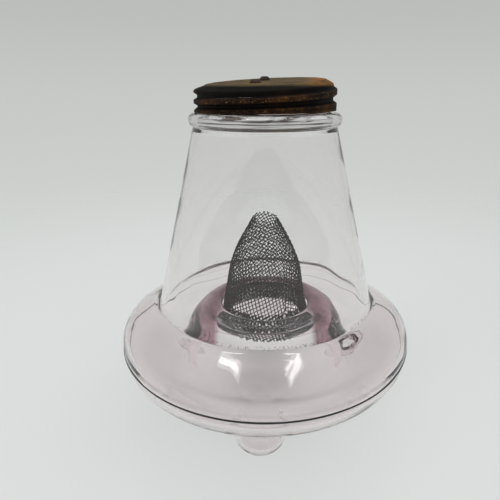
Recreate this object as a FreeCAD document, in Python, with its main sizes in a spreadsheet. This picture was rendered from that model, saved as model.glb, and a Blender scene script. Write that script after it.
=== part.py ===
import FreeCAD, Part
import math
import os
import Sketcher

# Glass fly trap, millimetres, +Z up.
# The origin is on the surface that the three feet stand on, under the axis of the glass.
# -Y is the front, where one foot points a little left of the middle.
# Every driving size has a cell in the sheet "Sizes", and every sketch is bound to those cells.

SIZES = (
    ("equator_radius", 83.3, "outermost radius of the trough"),
    ("equator_height", 37.0, "height of the mould seam round the trough"),
    ("seam_proud", 0.4, "how far the mould seam stands out"),
    ("seam_width", 1.2, "width of the mould seam"),
    ("wall", 3.2, "thickness of the blown wall"),
    ("floor_height", 10.0, "underside of the trough above the table"),
    ("floor_width", 13.0, "from the dome's foot out to where the trough's floor turns up"),
    ("floor_round", 12.0, "rounding of that turn"),
    ("belly_drop", 8.5, "from the seam down to where the slope under the trough meets its side"),
    ("belly_reach", 7.5, "how far up the side the rounding of that meeting runs"),
    ("brim_rise", 9.5, "from the seam up to where the side meets the sloping shoulder"),
    ("brim_round", 9.5, "rounding of that meeting"),
    ("crease_radius", 61.3, "radius where the tapered tower rises from the shoulder"),
    ("crease_rise", 13.5, "from there up to that crease"),
    ("crease_round", 2.0, "rounding of the crease"),
    ("tower_top_radius", 37.3, "outer radius at the top of the tower"),
    ("tower_rise", 97.2, "from the crease up to the top of the tower, under the bead"),
    ("bead_radius", 39.5, "outer radius of the bead under the cap"),
    ("bead_height", 6.0, "height of the bead"),
    ("bead_round", 2.1, "rounding of the bead's two edges"),
    ("neck_radius", 33.3, "outer radius of the neck that the cap screws on"),
    ("neck_round", 0.8, "rounding where the neck leaves the bead"),
    ("bore_radius", 30.2, "radius of the mouth"),
    ("bore_rise", 1.6, "from the bead's top up to where the mouth's straight bore begins"),
    ("neck_rise", 11.6, "from the bead's top up to the lip"),
    ("lip_round", 1.1, "rounding of the lip"),
    ("dome_flare", 3.0, "how much wider the dome is where it leaves the trough's floor"),
    ("dome_foot_round", 6.5, "rounding there"),
    ("crown_width", 18.5, "from the hole's taper, run down to the cone's foot, to the dome's side"),
    ("dome_rise", 46.5, "from the underside of the trough up to the top of the dome"),
    ("dome_round", 17.0, "rounding of the dome's shoulder"),
    ("dome_wall", 3.8, "thickness of the dome"),
    ("hole_round", 2.6, "rounding of the rim of the dome's hole"),
    ("collar_thickness", 2.2, "thickness of the collar under the dome's hole"),
    ("collar_drop", 9.0, "from the dome's top down to the lowest edge of that collar"),
    ("collar_round", 0.6, "rounding where the collar meets the dome"),
    ("throat_drop", 3.5, "from the dome's top down to where the tapered hole turns straight"),
    ("mouth_round", 12.0, "rounding of the way in under the dome"),
    ("foot_count", 3, "number of feet"),
    ("foot_inset", 3.0, "how far a foot's middle lies inside that turn of the floor"),
    ("foot_angle", -92.5, "direction of the front foot, in degrees from +X"),
    ("foot_radius", 11.5, "outer radius of a foot"),
    ("foot_round", 9.0, "rounding of a foot's end, which leaves a small flat"),
    ("foot_wall", 3.2, "thickness of a foot"),
    ("thread_pitch", 6.35, "rise of the screw thread in one turn, a quarter inch"),
    ("thread_rise", 2.7, "from the bead's top up to the middle of the thread at +X"),
    ("thread_turns", 0.95, "length of the glass thread in turns"),
    ("thread_depth", 1.7, "how far the glass thread stands out of the neck"),
    ("thread_root", 3.0, "width of the glass thread at the neck"),
    ("thread_crest", 1.0, "width of the glass thread at its crest"),
    ("thread_bite", 0.4, "how deep the thread's root lies in the neck"),
    ("cap_gap", 0.8, "room between the neck and the inside of the cap"),
    ("cap_sheet", 0.5, "thickness of the cap's tin"),
    ("cap_bevel", 1.2, "height of the bevel round the top of the cap"),
    ("cap_bevel_run", 1.4, "width of that bevel"),
    ("cap_bend", 0.7, "outer radius of the bends in the tin"),
    ("cap_rim_gap", 0.7, "room between the bead and the cap's rim"),
    ("rim_band", 1.1, "height of the plain band at the cap's rim"),
    ("rim_flare", 1.2, "height of the slope above that band"),
    ("roll_height", 1.9, "how far the rolled thread stands out of the cap"),
    ("roll_root", 4.0, "width of the rolled thread at its foot, outside"),
    ("roll_crest", 2.2, "width of the rolled thread at its crest, outside"),
    ("roll_wall", 0.35, "sideways thickness of the tin in the rolled thread"),
    ("roll_turns", 1.5, "turns of rolled thread above the rim"),
    ("roll_end", 0.012, "turns of closed metal where the roll ends"),
    ("seat_gap", 0.05, "room above and below the liner"),
    ("liner_thickness", 3.2, "thickness of the liner ring"),
    ("liner_gap", 0.1, "room round the liner ring inside the cap's bevel"),
    ("liner_hole", 27.0, "inner radius of the liner ring"),
    ("rivet_spacing", 20.0, "distance between the two rivets"),
    ("rivet_shift_x", -2.5, "place of the rivets' middle, to the right of the axis"),
    ("rivet_shift_y", 1.5, "place of the rivets' middle, behind the axis"),
    ("rivet_angle", 77.0, "direction of the line of rivets, in degrees from +X"),
    ("rivet_head", 2.95, "radius of a rivet's head"),
    ("rivet_dome", 2.2, "height of a rivet's head"),
    ("rivet_dome_round", 2.1, "rounding of a rivet's head"),
    ("rivet_shank", 1.2, "radius of a rivet's shank"),
    ("rivet_fit", 0.05, "room round a rivet's shank"),
    ("rivet_tail", 2.1, "radius of a rivet's clinched tail"),
    ("rivet_tail_height", 0.8, "height of that tail"),
    ("strap_thickness", 0.8, "thickness of the backing strap"),
    ("strap_width", 9.0, "width of the backing strap"),
    ("strap_end", 5.0, "how far the strap runs past a rivet"),
    ("strap_corner", 2.0, "rounding of the strap's corners"),
    ("gauze_base_radius", 26.2, "radius of the wire cone's foot"),
    ("gauze_drop", 12.5, "from the dome's top down to the wire cone's foot"),
    ("gauze_mid_radius", 19.2, "radius where the cone's steep side meets its nose"),
    ("gauze_side_rise", 42.0, "from the cone's foot up to that meeting"),
    ("gauze_mid_round", 60.0, "rounding of that meeting"),
    ("gauze_top_radius", 5.4, "radius of the opening at the cone's tip"),
    ("gauze_nose_rise", 24.0, "from that meeting up to the cone's tip"),
    ("gauze_wall", 0.7, "thickness of the woven gauze, two wires"),
    ("gauze_fit", 0.3, "room between the gauze and the glass hole"),
    ("lacing_radius", 0.4, "radius of the lacing wire"),
    ("lacing_bite", 0.15, "how deep the lacing wire lies in the gauze"),
    ("lacing_angle", -62.0, "direction of the cone's seam, in degrees from +X"),
    ("lacing_start", 1.5, "from the cone's foot up to the lower end of the lacing wire"),
    ("lacing_rise", 28.5, "from there up to its upper end"),
    ("cut_over", 2.0, "how far a cut runs past the face that it opens"),
)

SHEET = "Sizes"
XY, XZ, Z_AXIS = "XY_Plane", "XZ_Plane", "Z_Axis"


class Size:
    """A number together with the sheet expression that gives it."""

    def __init__(self, value, text):
        self.value = float(value)
        self.text = text

    def __add__(self, other):
        other = as_size(other)
        return Size(self.value + other.value, f"({self.text} + {other.text})")

    def __sub__(self, other):
        other = as_size(other)
        return Size(self.value - other.value, f"({self.text} - {other.text})")

    def __mul__(self, other):
        other = as_size(other)
        return Size(self.value * other.value, f"({self.text} * {other.text})")

    def __truediv__(self, other):
        other = as_size(other)
        return Size(self.value / other.value, f"({self.text} / {other.text})")

    def __rsub__(self, other):
        return as_size(other) - self

    def __neg__(self):
        return 0 - self

    __radd__ = __add__
    __rmul__ = __mul__


def as_size(number):
    """Take a plain number as a size."""
    if isinstance(number, Size):
        return number
    return Size(number, f"{float(number):g}")


def sine(angle):
    return Size(math.sin(math.radians(angle.value)), f"sin({angle.text})")


def cosine(angle):
    return Size(math.cos(math.radians(angle.value)), f"cos({angle.text})")


def heading(run, rise):
    """The direction of a slope, in degrees from the first axis of its sketch."""
    angle = math.degrees(math.atan2(rise.value, run.value))
    return Size(angle, f"atan2({rise.text}; {run.text})")


class Names:
    """Every row of SIZES by its name."""

    def __init__(self):
        for name, value, _ in SIZES:
            setattr(self, name, Size(value, f"{SHEET}.{name}"))


def write_sheet(doc):
    """Put each size in a row of its own: what it is, its value and its alias."""
    sheet = doc.addObject("Spreadsheet::Sheet", SHEET)
    for row, (name, value, meaning) in enumerate(SIZES, start=1):
        sheet.set(f"A{row}", meaning)
        sheet.set(f"B{row}", str(value))
        sheet.setAlias(f"B{row}", name)
    doc.recompute()


def corner(across, up, rounding=None):
    """A corner of an outline: its place in the sketch and how far it is rounded."""
    return as_size(across), as_size(up), rounding


def inset(path, depth):
    """Move a path of corners to the left of its own direction, keeping the distance everywhere."""
    depth = as_size(depth)
    headings = []
    for (x0, y0, _), (x1, y1, _) in zip(path[:-1], path[1:]):
        headings.append(heading(x1 - x0, y1 - y0))
    moved = []
    for place, (x, y, rounding) in enumerate(path):
        before = headings[max(place - 1, 0)]
        after = headings[min(place, len(headings) - 1)]
        middle = (before + after) / 2
        reach = depth / cosine((after - before) / 2)
        if rounding is not None and after.value > before.value:
            rounding = rounding - depth
        elif rounding is not None:
            rounding = rounding + depth
        if rounding is not None and rounding.value <= 0:
            rounding = None
        moved.append((x - reach * sine(middle), y + reach * cosine(middle), rounding))
    return moved


class Outline:
    """A sketch on one plane of a body, whose corners are bound to the sheet."""

    def __init__(self, body, name, plane, lift=None, turn=None, shift=None):
        self.sketch = body.newObject("Sketcher::SketchObject", name)
        self.sketch.AttachmentSupport = [(origin_part(body, plane), "")]
        self.sketch.MapMode = "FlatFace"
        spin_axis = FreeCAD.Vector(0, 0, 1)
        if plane == XZ:
            spin_axis = FreeCAD.Vector(0, 1, 0)
        self.sketch.AttachmentOffset = FreeCAD.Placement(
            FreeCAD.Vector(0, 0, 0), FreeCAD.Rotation(spin_axis, 1.0 if turn else 0.0)
        )
        if turn:
            self.sketch.setExpression("AttachmentOffset.Rotation.Angle", turn.text)
        if lift:
            self.sketch.setExpression("AttachmentOffset.Base.z", lift.text)
        if shift:
            self.sketch.setExpression("AttachmentOffset.Base.x", shift[0].text)
            self.sketch.setExpression("AttachmentOffset.Base.y", shift[1].text)

    def bind(self, constraint, size):
        index = self.sketch.addConstraint(constraint)
        self.sketch.setExpression(f"Constraints[{index}]", size.text)

    def place(self, geometry, point, across, up):
        """Hold a point at its two distances from the sketch's origin.

        In a sketch, -1 is its X axis, whose first point is the origin, and -2 is its Y axis.
        """
        if across.value == 0:
            self.sketch.addConstraint(Sketcher.Constraint("PointOnObject", geometry, point, -2))
        else:
            held = Sketcher.Constraint("DistanceX", -1, 1, geometry, point, across.value)
            self.bind(held, across)
        if up.value == 0:
            self.sketch.addConstraint(Sketcher.Constraint("PointOnObject", geometry, point, -1))
        else:
            self.bind(Sketcher.Constraint("DistanceY", -1, 1, geometry, point, up.value), up)

    def axis(self, start, end):
        """A construction line to turn the outline about."""
        ends = [FreeCAD.Vector(x.value, y.value, 0) for x, y, _ in (start, end)]
        line = self.sketch.addGeometry(Part.LineSegment(*ends), True)
        self.place(line, 1, start[0], start[1])
        self.place(line, 2, end[0], end[1])

    def circle(self, across, up, radius):
        middle = FreeCAD.Vector(across.value, up.value, 0)
        ring = Part.Circle(middle, FreeCAD.Vector(0, 0, 1), radius.value)
        index = self.sketch.addGeometry(ring, False)
        self.place(index, 3, across, up)
        self.bind(Sketcher.Constraint("Radius", index, radius.value), radius)

    def closed(self, corners):
        """Draw the outline: straight sides between corners, and an arc at each rounded one."""
        turns = [Turn(corners, place) for place in range(len(corners))]
        sides = []
        for place, turn in enumerate(turns):
            following = turns[(place + 1) % len(turns)]
            line = Part.LineSegment(turn.leave, following.reach)
            sides.append(self.sketch.addGeometry(line, False))
        for place, turn in enumerate(turns):
            self.join(turn, sides[place - 1], sides[place])
        return self

    def join(self, turn, side_in, side_out):
        """Tie two sides at their corner, with a tangent arc where the corner is rounded."""
        add = self.sketch.addConstraint
        if turn.rounding is None:
            add(Sketcher.Constraint("Coincident", side_in, 2, side_out, 1))
            self.place(side_out, 1, turn.across, turn.up)
            return
        point = self.sketch.addGeometry(Part.Point(turn.tip), True)
        self.place(point, 1, turn.across, turn.up)
        add(Sketcher.Constraint("PointOnObject", point, 1, side_in))
        add(Sketcher.Constraint("PointOnObject", point, 1, side_out))
        arc = self.sketch.addGeometry(turn.arc(), False)
        first, last = (1, 2) if turn.left else (2, 1)
        add(Sketcher.Constraint("Tangent", side_in, 2, arc, first))
        add(Sketcher.Constraint("Tangent", arc, last, side_out, 1))
        self.bind(Sketcher.Constraint("Radius", arc, turn.rounding.value), turn.rounding)


class Turn:
    """Where an outline reaches and leaves one of its corners."""

    def __init__(self, corners, place):
        self.across, self.up, self.rounding = corners[place]
        self.tip = FreeCAD.Vector(self.across.value, self.up.value, 0)
        self.reach = self.tip
        self.leave = self.tip
        if self.rounding is None:
            return
        before, after = corners[place - 1], corners[(place + 1) % len(corners)]
        back = (FreeCAD.Vector(before[0].value, before[1].value, 0) - self.tip).normalize()
        ahead = (FreeCAD.Vector(after[0].value, after[1].value, 0) - self.tip).normalize()
        half_angle = back.getAngle(ahead) / 2
        self.reach = self.tip + back * (self.rounding.value / math.tan(half_angle))
        self.leave = self.tip + ahead * (self.rounding.value / math.tan(half_angle))
        towards = (back + ahead).normalize()
        self.middle = self.tip + towards * (self.rounding.value / math.sin(half_angle))
        self.left = (back * -1).cross(ahead).z > 0

    def arc(self):
        ends = (self.reach, self.leave) if self.left else (self.leave, self.reach)
        angles = [math.atan2(end.y - self.middle.y, end.x - self.middle.x) for end in ends]
        ring = Part.Circle(self.middle, FreeCAD.Vector(0, 0, 1), self.rounding.value)
        return Part.ArcOfCircle(ring, *angles)


def origin_part(body, role):
    """One of the body's own planes or axes."""
    for feature in body.Origin.OriginFeatures:
        if feature.Role == role:
            return feature
    raise ValueError(f"{body.Label} has no {role}")


def new_body(doc, label):
    body = doc.addObject("PartDesign::Body", label)
    body.Label = label
    body.AllowCompound = True
    return body


def turned(body, kind, name, outline, axis="V_Axis"):
    """Turn an outline all the way round: Revolution adds glass or metal, Groove cuts it."""
    feature = body.newObject(f"PartDesign::{kind}", name)
    feature.Profile = (outline.sketch, [""])
    feature.ReferenceAxis = (outline.sketch, [axis])
    feature.Angle = 360.0
    return feature


def wound(body, kind, name, outline, pitch, turns):
    """Wind an outline up a right-handed helix about the body's axis."""
    feature = body.newObject(f"PartDesign::{kind}", name)
    feature.Profile = (outline.sketch, [""])
    feature.ReferenceAxis = (outline.sketch, ["V_Axis"])
    feature.Mode = "pitch-turns-angle"
    feature.LeftHanded = False
    feature.setExpression("Pitch", pitch.text)
    feature.setExpression("Turns", turns.text)
    return feature


def repeated(body, name, original, count):
    """Repeat a feature evenly about the body's axis."""
    pattern = body.newObject("PartDesign::PolarPattern", name)
    pattern.Originals = [original]
    pattern.Axis = (origin_part(body, Z_AXIS), [""])
    pattern.Angle = 360.0
    pattern.setExpression("Occurrences", count.text)
    body.Tip = pattern
    return pattern


def dome_top(size):
    return size.floor_height + size.dome_rise


def crease_height(size):
    return size.equator_height + size.brim_rise + size.crease_rise


def tower_top(size):
    return crease_height(size) + size.tower_rise


def bead_top(size):
    return tower_top(size) + size.bead_height


def lip_top(size):
    return bead_top(size) + size.neck_rise


def gauze_foot(size):
    return dome_top(size) - size.gauze_drop


def gauze_path(size):
    """The outside of the wire cone, from its foot to its tip."""
    meeting = gauze_foot(size) + size.gauze_side_rise
    return [
        corner(size.gauze_base_radius, gauze_foot(size)),
        corner(size.gauze_mid_radius, meeting, size.gauze_mid_round),
        corner(size.gauze_top_radius, meeting + size.gauze_nose_rise),
    ]


def gauze_radius(size, height):
    """The outside radius of the cone's steep lower side at a height."""
    shrink = size.gauze_base_radius - size.gauze_mid_radius
    above_foot = height - gauze_foot(size)
    return size.gauze_base_radius - above_foot * shrink / size.gauze_side_rise


def hole_radius(size, height):
    """The glass hole that the wire cone is pushed up into, at a height on its taper."""
    return gauze_radius(size, height) + size.gauze_fit


def throat_height(size):
    return dome_top(size) - size.throat_drop


def dome_side(size):
    """The dome's side, run up to its top."""
    return hole_radius(size, gauze_foot(size)) + size.crown_width


def floor_radius(size):
    """Where the trough's floor turns up."""
    return dome_side(size) + size.dome_flare + size.floor_width


def foot_place(size):
    """Distance from the axis to a foot's middle."""
    return floor_radius(size) - size.foot_inset


def belly_round(size):
    """The rounding under the trough's side that runs a set way up that side."""
    rise = size.equator_height - size.belly_drop - size.floor_height
    slope = heading(size.equator_radius - floor_radius(size), rise)
    return size.belly_reach * cosine(slope) / (1 - sine(slope))


def glass_outside(size):
    """The outside of the glass from under the trough to the top of the tower."""
    half_seam = size.seam_width / 2
    belly = size.equator_height - size.belly_drop
    brim = size.equator_height + size.brim_rise
    return [
        corner(0, size.floor_height),
        corner(floor_radius(size), size.floor_height, size.floor_round),
        corner(size.equator_radius, belly, belly_round(size)),
        corner(size.equator_radius, size.equator_height - half_seam),
        corner(size.equator_radius + size.seam_proud, size.equator_height),
        corner(size.equator_radius, size.equator_height + half_seam),
        corner(size.equator_radius, brim, size.brim_round),
        corner(size.crease_radius, crease_height(size), size.crease_round),
        corner(size.tower_top_radius, tower_top(size)),
    ]


def glass_neck(size):
    """The bead and the neck, up to the lip."""
    return [
        corner(size.bead_radius, tower_top(size), size.bead_round),
        corner(size.bead_radius, bead_top(size), size.bead_round),
        corner(size.neck_radius, bead_top(size), size.neck_round),
        corner(size.neck_radius, lip_top(size), size.lip_round),
        corner(0, lip_top(size)),
    ]


def glass_chamber(size):
    """The inside of the glass above the dome, from the middle of the hole round to the mouth."""
    without_seam = glass_outside(size)[:3] + glass_outside(size)[6:]
    inner_wall = inset(without_seam, size.wall)
    hole = hole_radius(size, throat_height(size))
    side = dome_side(size)
    crown = dome_top(size)
    over = lip_top(size) + size.cut_over
    return [
        corner(0, throat_height(size)),
        corner(hole, throat_height(size)),
        corner(hole, crown, size.hole_round),
        corner(side, crown, size.dome_round),
        corner(side + size.dome_flare, size.floor_height + size.wall, size.dome_foot_round),
        *inner_wall[1:],
        corner(size.bore_radius, bead_top(size) + size.bore_rise),
        corner(size.bore_radius, over),
        corner(0, over),
    ]


def glass_underside(size):
    """The hollow under the dome and the tapered hole that holds the wire cone."""
    side = dome_side(size)
    above = [
        corner(side + size.dome_flare, size.floor_height),
        corner(side, dome_top(size), size.dome_round),
        corner(0, dome_top(size)),
    ]
    side_foot, shoulder, crown = inset(above, size.dome_wall)
    collar_bottom = dome_top(size) - size.collar_drop
    tight = hole_radius(size, throat_height(size))
    wide = hole_radius(size, collar_bottom)
    collar_outside = wide + size.collar_thickness
    below = size.floor_height - size.cut_over
    beyond = side_foot[0] + size.mouth_round + size.cut_over
    over = dome_top(size) + size.cut_over
    return [
        corner(0, below),
        corner(beyond, below),
        corner(beyond, size.floor_height),
        corner(side_foot[0], size.floor_height, size.mouth_round),
        shoulder,
        corner(collar_outside, crown[1], size.collar_round),
        corner(collar_outside, collar_bottom),
        corner(wide, collar_bottom),
        corner(tight, throat_height(size)),
        corner(tight, over),
        corner(0, over),
    ]


def foot_form(size, radius, bottom, top, rounding):
    """Half of a foot, or of the hollow in it, about the foot's own axis."""
    middle = foot_place(size)
    return [
        corner(middle, bottom),
        corner(middle + radius, bottom, rounding),
        corner(middle + radius, top),
        corner(middle, top),
    ]


def thread_form(root_radius, crest_radius, root_width, crest_width, height):
    """A thread's section, wide at its root and narrow at its crest."""
    return [
        corner(root_radius, height - root_width / 2),
        corner(crest_radius, height - crest_width / 2),
        corner(crest_radius, height + crest_width / 2),
        corner(root_radius, height + root_width / 2),
    ]


def build_glass(doc, size):
    """One piece of blown glass: tower, trough, dome, three hollow feet and screw thread."""
    body = new_body(doc, "glass_body")
    outside = Outline(body, "GlassOutside", XZ)
    outside.closed(glass_outside(size) + glass_neck(size))
    turned(body, "Revolution", "Blown", outside)
    underside = Outline(body, "GlassUnderside", XZ).closed(glass_underside(size))
    turned(body, "Groove", "UnderDome", underside)

    foot = Outline(body, "FootForm", XZ, turn=size.foot_angle)
    root = size.floor_height + size.foot_radius
    foot_axis = (corner(foot_place(size), 0), corner(foot_place(size), root))
    foot.axis(*foot_axis)
    foot.closed(foot_form(size, size.foot_radius, as_size(0), root, size.foot_round))
    first_foot = turned(body, "Revolution", "Foot", foot, axis="Axis0")
    repeated(body, "Feet", first_foot, size.foot_count)

    chamber = Outline(body, "GlassChamber", XZ).closed(glass_chamber(size))
    turned(body, "Groove", "Chamber", chamber)

    hollow = Outline(body, "FootHollow", XZ, turn=size.foot_angle)
    hollow.axis(*foot_axis)
    inner_radius = size.foot_radius - size.foot_wall
    inner_round = size.foot_round - size.foot_wall
    hollow_top = root + size.cut_over
    hollow.closed(foot_form(size, inner_radius, size.foot_wall, hollow_top, inner_round))
    first_hollow = turned(body, "Groove", "Hollow", hollow, axis="Axis0")
    repeated(body, "Hollows", first_hollow, size.foot_count)

    section = Outline(body, "GlassThreadForm", XZ)
    section.closed(
        thread_form(
            size.neck_radius - size.thread_bite,
            size.neck_radius + size.thread_depth,
            size.thread_root,
            size.thread_crest,
            bead_top(size) + size.thread_rise,
        )
    )
    wound(body, "AdditiveHelix", "GlassThread", section, size.thread_pitch, size.thread_turns)
    return body


def cap_top(size):
    return lip_top(size) + size.seat_gap * 2 + size.liner_thickness + size.cap_sheet


def cap_side(size):
    """The outside radius of the cap between its thread's turns."""
    return size.neck_radius + size.cap_gap + size.cap_sheet


def cap_outside(size):
    """The outside of the tin, from the middle of its top to its rim, without the rolled thread."""
    top = cap_top(size)
    rim = bead_top(size) + size.cap_rim_gap
    side = cap_side(size)
    flare = rim + size.rim_band
    return [
        corner(0, top),
        corner(side - size.cap_bevel_run, top, size.cap_bend),
        corner(side, top - size.cap_bevel, size.cap_bend),
        corner(side, flare + size.rim_flare),
        corner(side + size.roll_height, flare),
        corner(side + size.roll_height, rim),
    ]


def build_cap(doc, size):
    """The pressed tin screw cap with its rolled thread and two rivet holes."""
    body = new_body(doc, "screw_cap")
    outer = cap_outside(size)
    inner = inset(outer, -size.cap_sheet)
    wall = Outline(body, "CapWall", XZ).closed(outer + inner[::-1])
    turned(body, "Revolution", "Pressed", wall)

    side = cap_side(size)
    crest = side + size.roll_height
    start = bead_top(size) + size.thread_rise - size.thread_pitch
    turns = size.roll_turns + 1
    outer_roll = Outline(body, "RollOutside", XZ)
    outer_roll.closed(
        thread_form(side - size.cap_sheet / 2, crest, size.roll_root, size.roll_crest, start)
    )
    wound(body, "AdditiveHelix", "Roll", outer_roll, size.thread_pitch, turns + size.roll_end)
    inner_roll = Outline(body, "RollInside", XZ)
    inner_roll.closed(
        thread_form(
            side - size.cap_sheet * 2,
            crest - size.cap_sheet,
            size.roll_root,
            size.roll_crest - size.roll_wall * 2,
            start,
        )
    )
    wound(body, "SubtractiveHelix", "RollHollow", inner_roll, size.thread_pitch, turns)

    above_flare, flare, rim = inner[-3:]
    low = rim[1] - size.thread_pitch * 2
    far = crest + size.cut_over
    trim = Outline(body, "RimTrim", XZ)
    trim.closed(
        [
            corner(0, low),
            corner(far, low),
            corner(far, rim[1]),
            rim,
            flare,
            above_flare,
            corner(0, above_flare[1]),
        ]
    )
    turned(body, "Groove", "RimCut", trim)

    holes = Outline(
        body,
        "RivetHoles",
        XY,
        lift=cap_top(size) + size.cut_over,
        turn=size.rivet_angle,
        shift=(size.rivet_shift_x, size.rivet_shift_y),
    )
    for side_of_middle in (-1, 1):
        holes.circle(
            side_of_middle * size.rivet_spacing / 2, as_size(0), size.rivet_shank + size.rivet_fit
        )
    doc.recompute()
    before = body.Shape.Volume
    cut = body.newObject("PartDesign::Pocket", "RivetPocket")
    cut.Profile = (holes.sketch, [""])
    cut.Type = "Length"
    cut.setExpression("Length", (size.cut_over + size.cap_sheet * 2).text)
    doc.recompute()
    if not body.Shape.Volume < before:
        raise RuntimeError("the rivet holes cut nothing")
    return body


def build_liner(doc, size):
    """The ring of soft board between the cap and the lip."""
    body = new_body(doc, "cap_liner")
    low = lip_top(size) + size.seat_gap
    high = low + size.liner_thickness
    edge = cap_side(size) - size.cap_sheet - size.cap_bevel_run - size.liner_gap
    ring = Outline(body, "LinerForm", XZ)
    ring.closed(
        [
            corner(size.liner_hole, low),
            corner(edge, low),
            corner(edge, high),
            corner(size.liner_hole, high),
        ]
    )
    turned(body, "Revolution", "Liner", ring)
    return body


def on_the_rivets(body, size):
    """Put a body's origin between the rivets, with its X axis along their line."""
    body.Placement = FreeCAD.Placement(
        FreeCAD.Vector(0, 0, 0), FreeCAD.Rotation(FreeCAD.Vector(0, 0, 1), 1.0)
    )
    body.setExpression("Placement.Base.x", size.rivet_shift_x.text)
    body.setExpression("Placement.Base.y", size.rivet_shift_y.text)
    body.setExpression("Placement.Rotation.Angle", size.rivet_angle.text)


def build_rivets(doc, size):
    """Two dome-headed rivets, as separate solids of one group."""
    body = new_body(doc, "cap_rivets")
    middle = size.rivet_spacing / 2
    seat = cap_top(size)
    strap_low = seat - size.cap_sheet - size.strap_thickness
    tail_low = strap_low - size.rivet_tail_height
    top = seat + size.rivet_dome
    form = Outline(body, "RivetForm", XZ)
    form.axis(corner(middle, tail_low), corner(middle, top))
    form.closed(
        [
            corner(middle, tail_low),
            corner(middle + size.rivet_tail, tail_low),
            corner(middle + size.rivet_tail, strap_low),
            corner(middle + size.rivet_shank, strap_low),
            corner(middle + size.rivet_shank, seat),
            corner(middle + size.rivet_head, seat),
            corner(middle + size.rivet_head, top, size.rivet_dome_round),
            corner(middle, top),
        ]
    )
    rivet = turned(body, "Revolution", "Rivet", form, axis="Axis0")
    repeated(body, "Rivets", rivet, as_size(2))
    on_the_rivets(body, size)
    return body


def build_strap(doc, size):
    """The tin strap under the cap that the rivets hold."""
    body = new_body(doc, "rivet_strap")
    low = cap_top(size) - size.cap_sheet - size.strap_thickness
    half_length = size.rivet_spacing / 2 + size.strap_end
    half_width = size.strap_width / 2
    form = Outline(body, "StrapForm", XY, lift=low)
    form.closed(
        [
            corner(-half_length, -half_width, size.strap_corner),
            corner(half_length, -half_width, size.strap_corner),
            corner(half_length, half_width, size.strap_corner),
            corner(-half_length, half_width, size.strap_corner),
        ]
    )
    for side_of_middle in (-1, 1):
        form.circle(
            side_of_middle * size.rivet_spacing / 2, as_size(0), size.rivet_shank + size.rivet_fit
        )
    pad = body.newObject("PartDesign::Pad", "Strap")
    pad.Profile = (form.sketch, [""])
    pad.setExpression("Length", size.strap_thickness.text)
    on_the_rivets(body, size)
    return body


def build_gauze(doc, size):
    """The cone of woven wire, as a thin shell as thick as the weave."""
    body = new_body(doc, "wire_cone")
    outer = gauze_path(size)
    inner = inset(outer, size.gauze_wall)
    inner.reverse()
    form = Outline(body, "GauzeForm", XZ).closed(outer + inner)
    turned(body, "Revolution", "Gauze", form)
    return body


def build_lacing(doc, size):
    """The wire that laces the gauze's two edges together, along the inside of the seam."""
    body = new_body(doc, "cone_lacing_wire")
    depth = size.gauze_wall + size.lacing_radius - size.lacing_bite
    low = gauze_foot(size) + size.lacing_start
    ends = []
    for height in (low, low + size.lacing_rise):
        ends.append(corner(gauze_radius(size, height) - depth, height))
    edge = inset(ends, size.lacing_radius)
    edge.reverse()
    form = Outline(body, "LacingForm", XZ, turn=size.lacing_angle)
    form.axis(*ends)
    form.closed(ends + edge)
    turned(body, "Revolution", "Lacing", form, axis="Axis0")
    return body


def check(doc, bodies):
    """Stop at a failed feature or an empty or faulty shape."""
    for item in doc.Objects:
        if "Invalid" in item.State or "Error" in item.State:
            raise RuntimeError(f"{item.Name} failed: {item.State}")
    for body in bodies:
        if body.Shape.isNull() or not body.Shape.isValid():
            raise RuntimeError(f"{body.Label} has no valid shape")


def main():
    doc = FreeCAD.newDocument("GlassFlyTrap")
    write_sheet(doc)
    size = Names()
    builders = (
        build_glass,
        build_gauze,
        build_lacing,
        build_cap,
        build_liner,
        build_rivets,
        build_strap,
    )
    bodies = [build(doc, size) for build in builders]
    doc.recompute()
    check(doc, bodies)
    os.makedirs("parts", exist_ok=True)
    for body in bodies:
        body.Shape.exportStep(f"parts/{body.Label}.step")
        box = body.Shape.BoundBox
        print(
            f"{body.Label}: {len(body.Shape.Solids)} solids, {body.Shape.Volume:.1f} mm3, "
            f"z {box.ZMin:.2f} to {box.ZMax:.2f}, radius {box.XMax:.2f}"
        )


main()
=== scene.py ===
"""The looks of a glass fly trap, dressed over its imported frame.

Sizes in the classes are millimetres of the real trap, in the frame's own axes: +Z up, -Y the front.
Each mesh is shaped in millimetres and turned to metres when its piece is finished.
"""

import logging
import math
from collections.abc import Callable, Sequence
from dataclasses import dataclass, field
from enum import Enum

import bmesh
import bpy
from mathutils import Matrix, Vector, noise


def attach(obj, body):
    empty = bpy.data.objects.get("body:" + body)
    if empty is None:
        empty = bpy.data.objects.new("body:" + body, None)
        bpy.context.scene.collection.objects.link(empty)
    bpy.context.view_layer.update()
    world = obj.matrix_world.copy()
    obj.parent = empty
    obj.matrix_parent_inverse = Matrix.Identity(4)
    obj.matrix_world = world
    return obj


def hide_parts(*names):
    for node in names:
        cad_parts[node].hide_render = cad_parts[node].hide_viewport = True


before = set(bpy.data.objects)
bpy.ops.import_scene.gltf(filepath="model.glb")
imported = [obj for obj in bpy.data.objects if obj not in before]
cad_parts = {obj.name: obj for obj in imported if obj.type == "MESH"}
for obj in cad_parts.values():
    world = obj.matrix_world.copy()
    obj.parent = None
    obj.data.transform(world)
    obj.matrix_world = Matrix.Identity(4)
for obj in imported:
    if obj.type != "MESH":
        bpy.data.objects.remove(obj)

LOG = logging.getLogger("fly_trap")
METRES = 0.001
FULL_TURN = math.tau


class Face(Enum):
    """The two faces of the glass where a foot is drawn out of it."""

    TABLE = -1
    CHAMBER = 1


class Lay(Enum):
    """The two sets of wires in a weave."""

    WARP = 1
    WEFT = -1


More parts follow.
